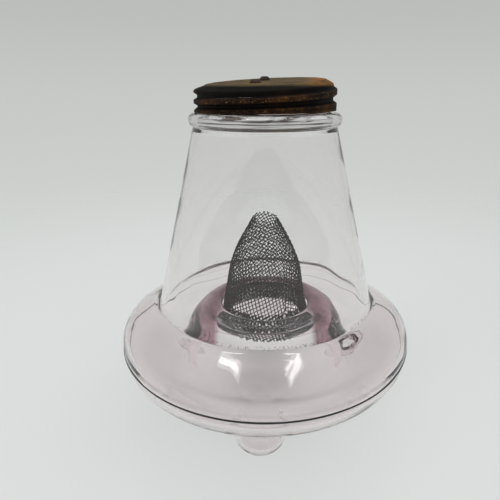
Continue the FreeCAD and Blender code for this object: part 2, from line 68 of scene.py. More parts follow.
@dataclass(frozen=True)
class Corner:
    """A corner of a section, in millimetres.

    Attributes:
        across: Distance from the axis.
        up: Height.
        rounding: Radius of the arc that replaces the corner, or 0.
    """

    across: float
    up: float
    rounding: float = 0.0

    def point(self) -> Vector:
        """The corner's place in the plane of the section."""
        return Vector((self.across, 0.0, self.up))


def smooth_step(value: float) -> float:
    """Ease from 0 to 1.

    Args:
        value: Any number; below 0 it counts as 0 and above 1 as 1.

    Returns:
        The eased value.
    """
    value = min(1.0, max(0.0, value))
    return value * value * (3.0 - 2.0 * value)


def inset(path: Sequence[Corner], depth: float) -> list[Corner]:
    """Move an open path to the left of its own direction.

    Args:
        path: The corners, in order.
        depth: How far each side moves, in millimetres.

    Returns:
        The moved corners, with roundings that keep the distance.
    """
    headings = []
    for first, second in zip(path[:-1], path[1:]):
        headings.append(math.atan2(second.up - first.up, second.across - first.across))
    moved = []
    for place, corner in enumerate(path):
        before = headings[max(place - 1, 0)]
        after = headings[min(place, len(headings) - 1)]
        middle = (before + after) / 2
        reach = depth / math.cos((after - before) / 2)
        change = -depth if after > before else depth
        rounding = max(0.0, corner.rounding + change) if corner.rounding else 0.0
        moved.append(
            Corner(
                corner.across - reach * math.sin(middle),
                corner.up + reach * math.cos(middle),
                rounding,
            )
        )
    return moved


def draw_section(
    shape: bmesh.types.BMesh,
    corners: Sequence[Corner],
    closed: bool,
    step: Callable[[Vector], float],
) -> None:
    """Draw a section as a chain of edges, with its corners rounded.

    Args:
        shape: The mesh that takes the chain.
        corners: The section's corners, in order.
        closed: Whether the last corner joins the first.
        step: The longest edge that is wanted at a place, in millimetres.
    """
    verts = [shape.verts.new(corner.point()) for corner in corners]
    count = len(verts)
    for place in range(count if closed else count - 1):
        shape.edges.new((verts[place], verts[(place + 1) % count]))
    for place, corner in enumerate(corners):
        if corner.rounding <= 0.0:
            continue
        back = (corners[place - 1].point() - corner.point()).normalized()
        ahead = (corners[(place + 1) % count].point() - corner.point()).normalized()
        turn = math.pi - back.angle(ahead)
        arc = corner.rounding * turn
        bmesh.ops.bevel(
            shape,
            geom=[verts[place]],
            offset=corner.rounding * math.tan(turn / 2),
            offset_type="OFFSET",
            segments=max(3, round(arc / min(step(corner.point()), corner.rounding * 0.35))),
            profile=0.5,
            affect="VERTICES",
            material=-1,
        )
    for edge in list(shape.edges):
        middle = (edge.verts[0].co + edge.verts[1].co) / 2
        cuts = math.ceil(edge.calc_length() / step(middle)) - 1
        if cuts > 0:
            bmesh.ops.subdivide_edges(shape, edges=[edge], cuts=cuts)


def lathe(shape: bmesh.types.BMesh, steps: int) -> None:
    """Turn what a mesh holds all the way round the Z axis and close it.

    Args:
        shape: The mesh, holding a section in the XZ plane.
        steps: Number of steps round.
    """
    bmesh.ops.spin(
        shape,
        geom=shape.verts[:] + shape.edges[:],
        cent=(0.0, 0.0, 0.0),
        axis=(0.0, 0.0, 1.0),
        dvec=(0.0, 0.0, 0.0),
        angle=FULL_TURN,
        steps=steps,
        use_merge=True,
        use_duplicate=False,
    )
    bmesh.ops.remove_doubles(shape, verts=shape.verts[:], dist=0.001)
    bmesh.ops.recalc_face_normals(shape, faces=shape.faces[:])
    shape.normal_update()


def finish_piece(
    shape: bmesh.types.BMesh,
    name: str,
    materials: Sequence[bpy.types.Material],
    body: str,
    stands_for: Sequence[str] = (),
) -> bpy.types.Object:
    """Turn a mesh in millimetres into a piece of the trap.

    Args:
        shape: The mesh; it is freed.
        name: The piece's name.
        materials: Its finishes, in the order of the faces' material numbers.
        body: The CAD body that it rides on.
        stands_for: The CAD nodes that it replaces.

    Returns:
        The piece's object.
    """
    bmesh.ops.scale(shape, vec=(METRES, METRES, METRES), verts=shape.verts[:])
    for part in shape.faces:
        part.smooth = True
    data = bpy.data.meshes.new(name)
    shape.to_mesh(data)
    shape.free()
    for material in materials:
        data.materials.append(material)
    piece = bpy.data.objects.new(name, data)
    bpy.context.scene.collection.objects.link(piece)
    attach(piece, body)
    if stands_for:
        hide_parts(*stands_for)
    LOG.info("%s: %d faces", name, len(data.polygons))
    return piece


def srgb(code: str, alpha: float = 1.0) -> tuple[float, float, float, float]:
    """Turn an sRGB hex colour to linear light.

    Args:
        code: Six hex digits.
        alpha: The fourth value.

    Returns:
        Linear red, green, blue and alpha.
    """
    channels = [int(code[place : place + 2], 16) / 255 for place in (0, 2, 4)]
    linear = [c / 12.92 if c <= 0.04045 else ((c + 0.055) / 1.055) ** 2.4 for c in channels]
    return (linear[0], linear[1], linear[2], alpha)


def add_node(
    tree: bpy.types.NodeTree, kind: str, inputs: dict | None = None, **settings: object
) -> bpy.types.Node:
    """Add a node with its settings, values and links.

    Args:
        tree: The material's or world's tree.
        kind: The node's type.
        inputs: Input name or number to a value, or to the socket that is linked to it.
        settings: Attributes of the node.

    Returns:
        The node.
    """
    node = tree.nodes.new(kind)
    for name, value in settings.items():
        setattr(node, name, value)
    for key, value in (inputs or {}).items():
        if isinstance(value, bpy.types.NodeSocket):
            tree.links.new(value, node.inputs[key])
        else:
            node.inputs[key].default_value = value
    return node


def add_math(tree: bpy.types.NodeTree, operation: str, *values: object) -> bpy.types.NodeSocket:
    """Add a sum on numbers.

    Args:
        tree: The material's tree.
        operation: The kind of sum.
        values: Its numbers or sockets, in order.

    Returns:
        The result's socket.
    """
    inputs = dict(enumerate(values))
    return add_node(tree, "ShaderNodeMath", inputs, operation=operation).outputs["Value"]


def add_fade(
    tree: bpy.types.NodeTree, value: bpy.types.NodeSocket, start: float, end: float
) -> bpy.types.NodeSocket:
    """Add an eased fade along a length.

    Args:
        tree: The material's tree.
        value: The length, in metres.
        start: Where the result is 0, in millimetres.
        end: Where the result is 1, in millimetres.

    Returns:
        The result's socket.
    """
    fade = add_node(
        tree,
        "ShaderNodeMapRange",
        {"Value": value, "From Min": start * METRES, "From Max": end * METRES},
        interpolation_type="SMOOTHSTEP",
    )
    return fade.outputs["Result"]


def add_mix(
    tree: bpy.types.NodeTree, share: bpy.types.NodeSocket, low: object, high: object
) -> bpy.types.NodeSocket:
    """Add a mix of two colours.

    Args:
        tree: The material's tree.
        share: How much of the second colour there is.
        low: The first colour, or its socket.
        high: The second colour, or its socket.

    Returns:
        The mixed colour's socket.
    """
    inputs = {"Factor": share, 6: low, 7: high}
    return add_node(tree, "ShaderNodeMix", inputs, data_type="RGBA").outputs[2]


def add_ramp(
    tree: bpy.types.NodeTree, value: bpy.types.NodeSocket, stops: Sequence[tuple[float, str]]
) -> bpy.types.NodeSocket:
    """Add a colour ramp.

    Args:
        tree: The material's or world's tree.
        value: What it is read by.
        stops: Place and sRGB hex colour of each stop, in order.

    Returns:
        The colour's socket.
    """
    node = add_node(tree, "ShaderNodeValToRGB", {"Fac": value})
    elements = node.color_ramp.elements
    while len(elements) < len(stops):
        elements.new(0.5)
    for element, (place, code) in zip(elements, stops):
        element.position = place
        element.color = srgb(code)
    return node.outputs["Color"]


def add_noise(
    tree: bpy.types.NodeTree, spot: bpy.types.NodeSocket, grain: float, detail: float, **more: float
) -> bpy.types.NodeSocket:
    """Add a noise.

    Args:
        tree: The material's tree.
        spot: The place it is read at, in metres.
        grain: Its size, in millimetres.
        detail: Its detail.
        more: Other values of the noise.

    Returns:
        The noise's socket.
    """
    inputs = {"Vector": spot, "Scale": 1.0 / (grain * METRES), "Detail": detail, **more}
    return add_node(tree, "ShaderNodeTexNoise", inputs).outputs["Fac"]


def add_radius(tree: bpy.types.NodeTree, place: bpy.types.Node) -> bpy.types.NodeSocket:
    """Add the distance from the trap's axis.

    Args:
        tree: The material's tree.
        place: The node that separates a place's coordinates.

    Returns:
        The distance's socket, in metres.
    """
    sides = {"X": place.outputs["X"], "Y": place.outputs["Y"]}
    flat = add_node(tree, "ShaderNodeCombineXYZ", sides)
    flat_place = {0: flat.outputs["Vector"]}
    return add_node(tree, "ShaderNodeVectorMath", flat_place, operation="LENGTH").outputs["Value"]


def start_material(
    name: str,
) -> tuple[bpy.types.Material, bpy.types.NodeTree, bpy.types.NodeSocket]:
    """Start a material that is read by a piece's own coordinates.

    Args:
        name: The material's name.

    Returns:
        The material, its tree and the socket of the coordinates.
    """
    material = bpy.data.materials.new(name)
    material.use_nodes = True
    tree = material.node_tree
    tree.nodes.clear()
    return material, tree, add_node(tree, "ShaderNodeTexCoord").outputs["Object"]


def add_surface(tree: bpy.types.NodeTree, values: dict[str, object], **more: object) -> None:
    """Add the shader and the output.

    Args:
        tree: The material's tree.
        values: Values and sockets of the shader.
        more: Other sockets of the output.
    """
    shader = add_node(tree, "ShaderNodeBsdfPrincipled", values)
    surface = {"Surface": shader.outputs["BSDF"], **more}
    add_node(tree, "ShaderNodeOutputMaterial", surface)


@dataclass(frozen=True)
class Stain:
    """A ring of specks in the glass's surface.

    Attributes:
        colour: Its sRGB hex colour.
        radii: Its inner and outer radius, in millimetres.
        heights: Its lower and upper edge, in millimetres.
        stretch: How often the specks repeat along X, Y and Z, per metre.
        thin: The noise's value where the specks begin.
        thick: The noise's value where they are full.
        blend: Width of the fade outside the ring, in millimetres.
    """

    colour: str
    radii: tuple[float, float]
    heights: tuple[float, float]
    stretch: tuple[float, float, float]
    thin: float
    thick: float
    blend: float = 0.5


@dataclass(frozen=True)
class LilacGlass:
    """Pressed soda-lime glass, turned lilac by the sun because it holds manganese.

    It is all but clear in its thin walls. The dome's shoulder is mauve, partly the glass's own tint
    and
    partly painted shade: darker where thick glass is seen edge-on, and left clear at the front. Dark
    streaks just inside the mouth are a painted reflection of the dark cap, and the grey specks in
    the crease at the tower's foot are partly dirt and partly painted shade.
    """

    ior: float = 1.52
    tower_tint: str = "FFFFFF"
    trough_tint: str = "FCF7F8"
    trough_top: tuple[float, float] = (64.0, 54.0)
    # The dome's mauve ramp: partly the glass's own tint and partly painted shade; the second colour
    # is its darkest painted shade.
    dome_tint_with_shade: str = "BC9DA5"
    dome_painted_shade: str = "8C6C77"
    absorption: str = "C1A0AA"
    density: float = 15.0
    dome_radii: tuple[float, float] = (27.5, 47.5)
    dome_heights: tuple[float, float] = (45.0, 58.0)
    blend: float = 3.0
    # The dome's mauve and painted shade are left out at the front, within these distances in Y and
    # X.
    unpainted_front: tuple[float, float] = (-8.0, -20.0)
    unpainted_side: tuple[float, float] = (28.0, 23.0)
    streak: float = 14.0
    paler_out: tuple[float, float] = (-0.16, 0.12)
    # Painted reflection of the dark cap: dark streaks in the glass just inside the mouth.
    painted_cap_reflection: Stain = Stain("2B1D16", (30.6, 36.4), (160.6, 162.9), (90.0, 90.0, 1400.0), 0.42, 0.56)
    # Grey specks in the crease at the tower's foot: partly dirt and partly painted shade of the
    # crease.
    crease_dirt_and_shade: Stain = Stain("8C7C80", (60.2, 61.6), (60.2, 61.4), (900.0, 900.0, 900.0), 0.5, 0.66)

    def build(self) -> bpy.types.Material:
        """Make the material."""
        material, tree, spot = start_material("manganese_glass")
        place = add_node(tree, "ShaderNodeSeparateXYZ", {"Vector": spot})
        radius = add_radius(tree, place)
        height = place.outputs["Z"]

        def ring(
            radii: tuple[float, float], heights: tuple[float, float], blend: float
        ) -> bpy.types.NodeSocket:
            """Mark a ring between two radii and two heights, with a fade outside it."""
            sides = []
            for value, (low, high) in ((radius, radii), (height, heights)):
                edges = (
                    add_fade(tree, value, low - blend, low),
                    add_fade(tree, value, high + blend, high),
                )
                sides.append(add_math(tree, "MULTIPLY", *edges))
            return add_math(tree, "MULTIPLY", *sides)

        # Painted shade on the dome: mauve on its sides and back, where thick glass is seen edge-on,
        # and left clear at the front.
        aside = add_math(tree, "ABSOLUTE", place.outputs["X"])
        clear = add_math(
            tree,
            "MULTIPLY",
            add_fade(tree, place.outputs["Y"], *self.unpainted_front),
            add_fade(tree, aside, *self.unpainted_side),
        )
        tint_and_shade_share = add_math(
            tree,
            "MULTIPLY",
            ring(self.dome_radii, self.dome_heights, self.blend),
            add_math(tree, "SUBTRACT", 1.0, clear),
        )
        outwards = add_node(
            tree,
            "ShaderNodeMapRange",
            {
                "Value": radius,
                "From Min": self.dome_radii[0] * METRES,
                "From Max": self.dome_radii[1] * METRES,
                "To Min": self.paler_out[0],
                "To Max": self.paler_out[1],
            },
        )
        # Painted shade of the dome: darker towards its inside, in noisy streaks.
        streaks = add_noise(tree, spot, self.streak, 2.0)
        paler = add_math(tree, "ADD", streaks, outwards.outputs["Result"])
        mauve_tint_and_shade = add_ramp(tree, paler, [(0.36, self.dome_painted_shade), (0.6, self.dome_tint_with_shade)])
        low = add_fade(tree, height, *self.trough_top)
        wall = add_mix(tree, low, srgb(self.tower_tint), srgb(self.trough_tint))
        colour = add_mix(tree, tint_and_shade_share, wall, mauve_tint_and_shade)
        # Painted reflection of the cap in the mouth, and painted shade with some dirt in the crease.
        for stain in (self.painted_cap_reflection, self.crease_dirt_and_shade):
            stretched = add_node(
                tree, "ShaderNodeVectorMath", {0: spot, 1: stain.stretch}, operation="MULTIPLY"
            )
            specks = add_noise(tree, stretched.outputs["Vector"], 1.0 / METRES, 3.0)
            thick = add_node(
                tree,
                "ShaderNodeMapRange",
                {"Value": specks, "From Min": stain.thin, "From Max": stain.thick},
            )
            place_share = ring(stain.radii, stain.heights, stain.blend)
            share = add_math(tree, "MULTIPLY", place_share, thick.outputs["Result"])
            colour = add_mix(tree, share, colour, srgb(stain.colour))
        depth = add_node(
            tree,
            "ShaderNodeVolumeAbsorption",
            {"Color": srgb(self.absorption), "Density": self.density},
        )
        look = {
            "Base Color": colour,
            "Roughness": 0.0,
            "IOR": self.ior,
            "Transmission Weight": 1.0,
        }
        add_surface(tree, look, Volume=depth.outputs["Volume"])
        return material


@dataclass(frozen=True)
class SeamShadeLine:
    """Painted shade: a thin black line on the mould seam all round the trough."""

    colour: str = "141113"
    edge: str = "2A2426"
    grain: float = 6.25

    def build(self) -> bpy.types.Material:
        """Make the material."""
        material, tree, spot = start_material("seam_painted_shade")
        spots = add_noise(tree, spot, self.grain, 3.0)
        colour = add_ramp(tree, spots, [(0.4, self.colour), (0.7, self.edge)])
        add_surface(tree, {"Base Color": colour, "Roughness": 0.35})
        return material


@dataclass(frozen=True)
class WireSteel:
    """Drawn steel wire gone dull and brown, with a little shine left on its crowns."""

    name: str
    bright: str = "242020"
    dull: str = "0A0808"
    rough: float = 0.42
    patch: float = 5.6

    def build(self) -> bpy.types.Material:
        """Make the material."""
        material, tree, spot = start_material(self.name)
        patches = add_noise(tree, spot, self.patch, 4.0)
        colour = add_ramp(tree, patches, [(0.36, self.dull), (0.62, self.bright)])
        rough = add_node(
            tree,
            "ShaderNodeMapRange",
            {"Value": patches, "To Min": self.rough + 0.2, "To Max": self.rough},
        )
        look = {
            "Base Color": colour,
            "Metallic": 0.3,
            "Roughness": rough.outputs["Result"],
            "Specular IOR Level": 0.35,
        }
        add_surface(tree, look)
        return material


@dataclass(frozen=True)
class RustyTin:
    """Lacquered tinplate that has rusted through its lacquer.

    The grooves of the rolled thread are nearly black, its ridges are rubbed brown with pale
    grains of rust along them, and the crown is a dusty olive brown with orange at its right edge.
    The looks are in that order.
    """

    crown_height: float = 177.0
    crown_blend: float = 1.6
    groove: float = 34.9
    crest: float = 36.3
    orange_side: tuple[float, float] = (14.0, 32.0)
    patch: float = 10.0
    grain: float = 0.75
    fleck: str = "8E6A3C"
    looks: tuple[tuple[tuple[float, str], ...], ...] = (
        ((0.4, "040201"), (0.6, "0D0603"), (0.75, "241208")),
        ((0.38, "0E0703"), (0.52, "24140A"), (0.64, "40260F"), (0.8, "5E3A18")),
        ((0.3, "352C1D"), (0.5, "544730"), (0.64, "66512E"), (0.8, "7E5626")),
        ((0.35, "4A3418"), (0.55, "7C5220"), (0.7, "94621F")),
    )

    def build(self) -> bpy.types.Material:
        """Make the material."""
        material, tree, spot = start_material("rusted_tinplate")
        place = add_node(tree, "ShaderNodeSeparateXYZ", {"Vector": spot})
        broad = add_noise(tree, spot, self.patch, 6.0, Roughness=0.65)
        fine = add_noise(tree, spot, self.grain, 3.0, Roughness=0.6)
        crest = add_fade(tree, add_radius(tree, place), self.groove, self.crest)
        crown_start = self.crown_height - self.crown_blend
        crown = add_fade(tree, place.outputs["Z"], crown_start, self.crown_height)
        right = add_fade(tree, place.outputs["X"], *self.orange_side)
        looks = [add_ramp(tree, broad, stops) for stops in self.looks]
        side = add_mix(tree, crest, looks[0], looks[1])
        top = add_mix(tree, right, looks[2], looks[3])
        ground = add_mix(tree, crown, side, top)
        flecks = add_ramp(tree, fine, [(0.6, "000000"), (0.68, "FFFFFF")])
        on_ridge = add_math(tree, "MULTIPLY", flecks, crest)
        colour = add_mix(tree, on_ridge, ground, srgb(self.fleck))
        bump = add_node(
            tree, "ShaderNodeBump", {"Strength": 0.6, "Distance": 0.0003, "Height": fine}
        )
        look = {
            "Base Color": colour,
            "Roughness": 0.72,
            "Specular IOR Level": 0.12,
            "Normal": bump.outputs["Normal"],
        }
        add_surface(tree, look)
        return material


@dataclass(frozen=True)
class PulpBoard:
    """Waxed pulp board: pale brown, felted and soft."""

    pale: str = "A8926C"
    dark: str = "6E5A3E"
    fibre: float = 0.6

    def build(self) -> bpy.types.Material:
        """Make the material."""
        material, tree, spot = start_material("waxed_pulp_board")
        fibres = add_noise(tree, spot, self.fibre, 6.0)
        colour = add_ramp(tree, fibres, [(0.35, self.dark), (0.65, self.pale)])
        add_surface(tree, {"Base Color": colour, "Roughness": 0.8})
        return material


@dataclass
class GlassBody:
    """The one piece of glass: tower, ring trough, dome, three hollow feet, neck and thread."""

    steps: int = 256
    equator_radius: float = 83.3
    equator_height: float = 37.0
    seam_proud: float = 0.38
    seam_width: float = 1.2
    seam_unpainted_back: float = 70.0
    wall: float = 3.2
    floor_height: float = 10.0
    floor_radius: float = 61.0
    floor_round: float = 12.0
    belly_height: float = 28.5
    belly_round: float = 16.0
    brim_height: float = 46.5
    brim_round: float = 9.5
    crease_radius: float = 61.3
    crease_height: float = 60.0
    crease_round: float = 1.3
    crease_inner_round: float = 9.0
    tower_top_radius: float = 37.3
    tower_top_height: float = 157.2
    bead_radius: float = 39.5
    bead_height: float = 6.0
    bead_round: float = 2.9
    neck_radius: float = 33.3
    bore_radius: float = 30.2
    throat: tuple[Corner, ...] = (Corner(30.2, 164.6, 1.2), Corner(35.5, 160.4, 2.0))
    below_bead: tuple[float, float, float] = (34.8, 154.0, 3.0)
    lip_height: float = 174.3
    lip_round: float = 1.4
    thread_start: float = 165.9
    thread_pitch: float = 6.35
    thread_turns: float = 0.95
    thread_depth: float = 1.6
    thread_half_root: float = 1.5
    thread_half_crest: float = 0.6
    hole_radius: float = 25.1
    dome_side: float = 45.0
    dome_flare: float = 3.0
    dome_height: float = 56.5
    dome_round: float = 17.0
    dome_wall: float = 3.8
    dome_inner_round: float = 7.0
    dome_foot_round: float = 6.5
    mouth_round: float = 12.0
    hole_round: float = 1.8
    foot_place: float = 58.0
    foot_angles: tuple[float, ...] = (-92.5, 27.5, 147.5)
    foot_radius: float = 13.4
    foot_flat: float = 3.0
    foot_spread: float = 20.0
    niche_half: float = 12.3
    niche_top: float = 29.0
    niche_depth: float = 1.0
    niche_edge: float = 3.6
    waviness: float = 0.2
    wave_length: float = 17.0

    def outside(self) -> list[Corner]:
        """The outer face, from the trough's floor up to the top of the tower."""
        half_seam = self.seam_width / 2
        return [
            Corner(0.0, self.floor_height),
            Corner(self.floor_radius, self.floor_height, self.floor_round),
            Corner(self.equator_radius, self.belly_height, self.belly_round),
            Corner(self.equator_radius, self.equator_height - half_seam),
            Corner(self.equator_radius + self.seam_proud, self.equator_height, 0.25),
            Corner(self.equator_radius, self.equator_height + half_seam),
            Corner(self.equator_radius, self.brim_height, self.brim_round),
            Corner(self.crease_radius, self.crease_height, self.crease_round),
            Corner(self.tower_top_radius, self.tower_top_height, 0.8),
        ]

    def bead_top(self) -> float:
        """Height of the bead's top."""
        return self.tower_top_height + self.bead_height

    def section(self) -> list[Corner]:
        """The whole section of the glass, once round the wall."""
        outer = self.outside()
        plain = outer[:3] + outer[6:]
        inner = inset(plain, self.wall)
        bend = inner[4]
        inner[4] = Corner(bend.across, bend.up, self.crease_inner_round)
        inner[5] = Corner(*self.below_bead)
        bead_top = self.bead_top()
        dome_line = [
            Corner(self.dome_side + self.dome_flare, self.floor_height),
            Corner(self.dome_side, self.dome_height, self.dome_round),
            Corner(0.0, self.dome_height),
        ]
        under = inset(dome_line, self.dome_wall)
        under[1] = Corner(under[1].across, under[1].up, self.dome_inner_round)
        return [
            *outer[1:],
            Corner(self.bead_radius, self.tower_top_height, self.bead_round),
            Corner(self.bead_radius, bead_top, self.bead_round),
            Corner(self.neck_radius, bead_top, 0.9),
            Corner(self.neck_radius, self.lip_height, self.lip_round),
            Corner(self.bore_radius, self.lip_height, self.lip_round),
            *self.throat,
            *reversed(inner[1:]),
            Corner(
                self.dome_side + self.dome_flare, self.floor_height + self.wall, self.dome_foot_round
            ),
            Corner(self.dome_side, self.dome_height, self.dome_round),
            Corner(self.hole_radius, self.dome_height, self.hole_round),
            Corner(self.hole_radius, under[1].up, self.hole_round),
            under[1],
            Corner(under[0].across, self.floor_height, self.mouth_round),
        ]

    def mesh_step(self, place: Vector) -> float:
        """The longest edge that is wanted at a place of the section."""
        if place.z < 32.0 and 38.0 < place.x < 75.0:
            return 1.4
        if place.z > self.thread_start - 2.0 and place.x > self.neck_radius - 0.5:
            return 0.45
        if place.z > 150.0:
            return 1.2
        return 2.6

    def foot_point(self, reach: float, share: float, radius: float, bottom: float) -> Vector:
        """A place on a foot's ball, or on the straight side above it.

        Args:
            reach: Length of the line that is drawn out into the foot.
            share: How far along that line, from the foot's middle.
            radius: The ball's largest radius.
            bottom: Height of the ball's lowest face.

        Returns:
            Distance from the foot's axis as x, and height as z.
        """
        along = reach * share
        round_radius = radius - self.foot_flat
        quarter = round_radius * math.pi / 2
        if along < self.foot_flat:
            return Vector((along, 0.0, bottom))
        if along < self.foot_flat + quarter:
            angle = (along - self.foot_flat) / round_radius
            return Vector(
                (
                    self.foot_flat + round_radius * math.sin(angle),
                    0.0,
                    bottom + round_radius * (1.0 - math.cos(angle)),
                )
            )
        return Vector((radius, 0.0, bottom + round_radius + along - self.foot_flat - quarter))

    def draw_foot(self, shape: bmesh.types.BMesh, axis: Vector, face: Face) -> None:
        """Draw one face of the glass down into a foot.

        Args:
            shape: The lathed glass.
            axis: The foot's middle, on the table.
            face: Which face of the glass is drawn.
        """
        outer = face is Face.TABLE
        radius = self.foot_radius if outer else self.foot_radius - self.wall
        bottom = 0.0 if outer else self.wall
        spread = self.foot_spread if outer else self.foot_spread - self.wall
        settle = 0.6
        reach = spread * 1.32
        for vert in shape.verts:
            if vert.co.z > 24.0 or (vert.normal.z < 0.0) is not outer:
                continue
            away = Vector((vert.co.x - axis.x, vert.co.y - axis.y, 0.0))
            distance = away.length
            if distance >= spread:
                continue
            share = distance / spread
            ball = self.foot_point(reach, share, radius, bottom)
            ease = smooth_step((share - settle) / (1.0 - settle))
            out = ball.x * (1.0 - ease) + distance * ease
            height = min(ball.z, vert.co.z) * (1.0 - ease) + vert.co.z * ease
            direction = away.normalized() if distance > 0.0 else Vector((1.0, 0.0, 0.0))
            vert.co = Vector((axis.x, axis.y, 0.0)) + direction * out + Vector((0.0, 0.0, height))

    def press_niche(self, shape: bmesh.types.BMesh, axis: Vector) -> None:
        """Run a foot's hollow up the side of the dome as a shallow arched niche.

        Args:
            shape: The lathed glass.
            axis: The foot's middle, on the table.
        """
        outward = axis.normalized()
        sideways = Vector((-outward.y, outward.x, 0.0))
        for vert in shape.verts:
            radius = math.hypot(vert.co.x, vert.co.y)
            if not self.dome_side - 9.0 < radius < self.dome_side + 6.0 or vert.co.z > 34.0:
                continue
            if vert.co.dot(outward) < 0.0:
                continue
            aside = vert.co.dot(sideways)
            above = max(0.0, vert.co.z - (self.niche_top - self.niche_half))
            reach = self.niche_half - math.hypot(aside, above)
            depth = self.niche_depth * smooth_step(reach / self.niche_edge)
            depth *= smooth_step((vert.co.z - self.floor_height - 2.0) / 5.0)
            vert.co -= outward * depth

    def roll_unevenly(self, shape: bmesh.types.BMesh) -> None:
        """Give the chamber's face the slow waves of pressed glass.

        Args:
            shape: The lathed glass.
        """
        for vert in shape.verts:
            if vert.co.z > 155.0:
                continue
            wave = noise.noise(vert.co / self.wave_length)
            inward = Vector((vert.co.x, vert.co.y, 0.0)).dot(vert.normal) < 0.0
            push = self.waviness * wave if inward else -self.waviness * 0.35 * abs(wave)
            vert.co += vert.normal * push

    def raise_thread(self, shape: bmesh.types.BMesh) -> None:
        """Raise the screw thread out of the neck.

        Args:
            shape: The lathed glass.
        """
        slope = self.thread_half_root - self.thread_half_crest
        for vert in shape.verts:
            radius = math.hypot(vert.co.x, vert.co.y)
            if radius < self.neck_radius - 0.02 or vert.co.z < self.bead_top() + 0.5:
                continue
            turns = (math.atan2(vert.co.y, vert.co.x) % FULL_TURN) / FULL_TURN
            aside = abs(vert.co.z - self.thread_start - turns * self.thread_pitch)
            ends = min(turns, self.thread_turns - turns)
            out = self.thread_depth * smooth_step((self.thread_half_root - aside) / slope)
            scale = 1.0 + out * smooth_step(ends / 0.03) / radius
            vert.co.x *= scale
            vert.co.y *= scale

    def mark_seam(self, shape: bmesh.types.BMesh) -> None:
        """Give the faces of the mould seam their own material number, the painted shade line.

        Args:
            shape: The lathed glass.
        """
        edge = self.equator_radius + self.seam_proud * 0.25
        for part in shape.faces:
            middle = part.calc_center_median()
            # The seam's painted shade line is left off at the back.
            back_unpainted = middle.y > 0.0 and abs(middle.x) < self.seam_unpainted_back
            if math.hypot(middle.x, middle.y) > edge and not back_unpainted:
                part.material_index = 1

    def build(
        self, material: bpy.types.Material, seam: bpy.types.Material
    ) -> bpy.types.Object:
        """Make the glass.

        Args:
            material: The glass.
            seam: The painted shade line of the mould seam.

        Returns:
            The piece, which throws no shadow of its own, as glass this clear hardly does.
        """
        shape = bmesh.new()
        draw_section(shape, self.section(), closed=True, step=self.mesh_step)
        lathe(shape, self.steps)
        self.mark_seam(shape)
        self.raise_thread(shape)
        self.roll_unevenly(shape)
        for angle in self.foot_angles:
            turn = math.radians(angle)
            axis = Vector((math.cos(turn), math.sin(turn), 0.0)) * self.foot_place
            self.press_niche(shape, axis)
            for face in Face:
                self.draw_foot(shape, axis, face)
        piece = finish_piece(
            shape, "blown_glass", [material, seam], "glass", ["glass_body"]
        )
        piece.visible_shadow = False
        piece.visible_diffuse = False
        return piece


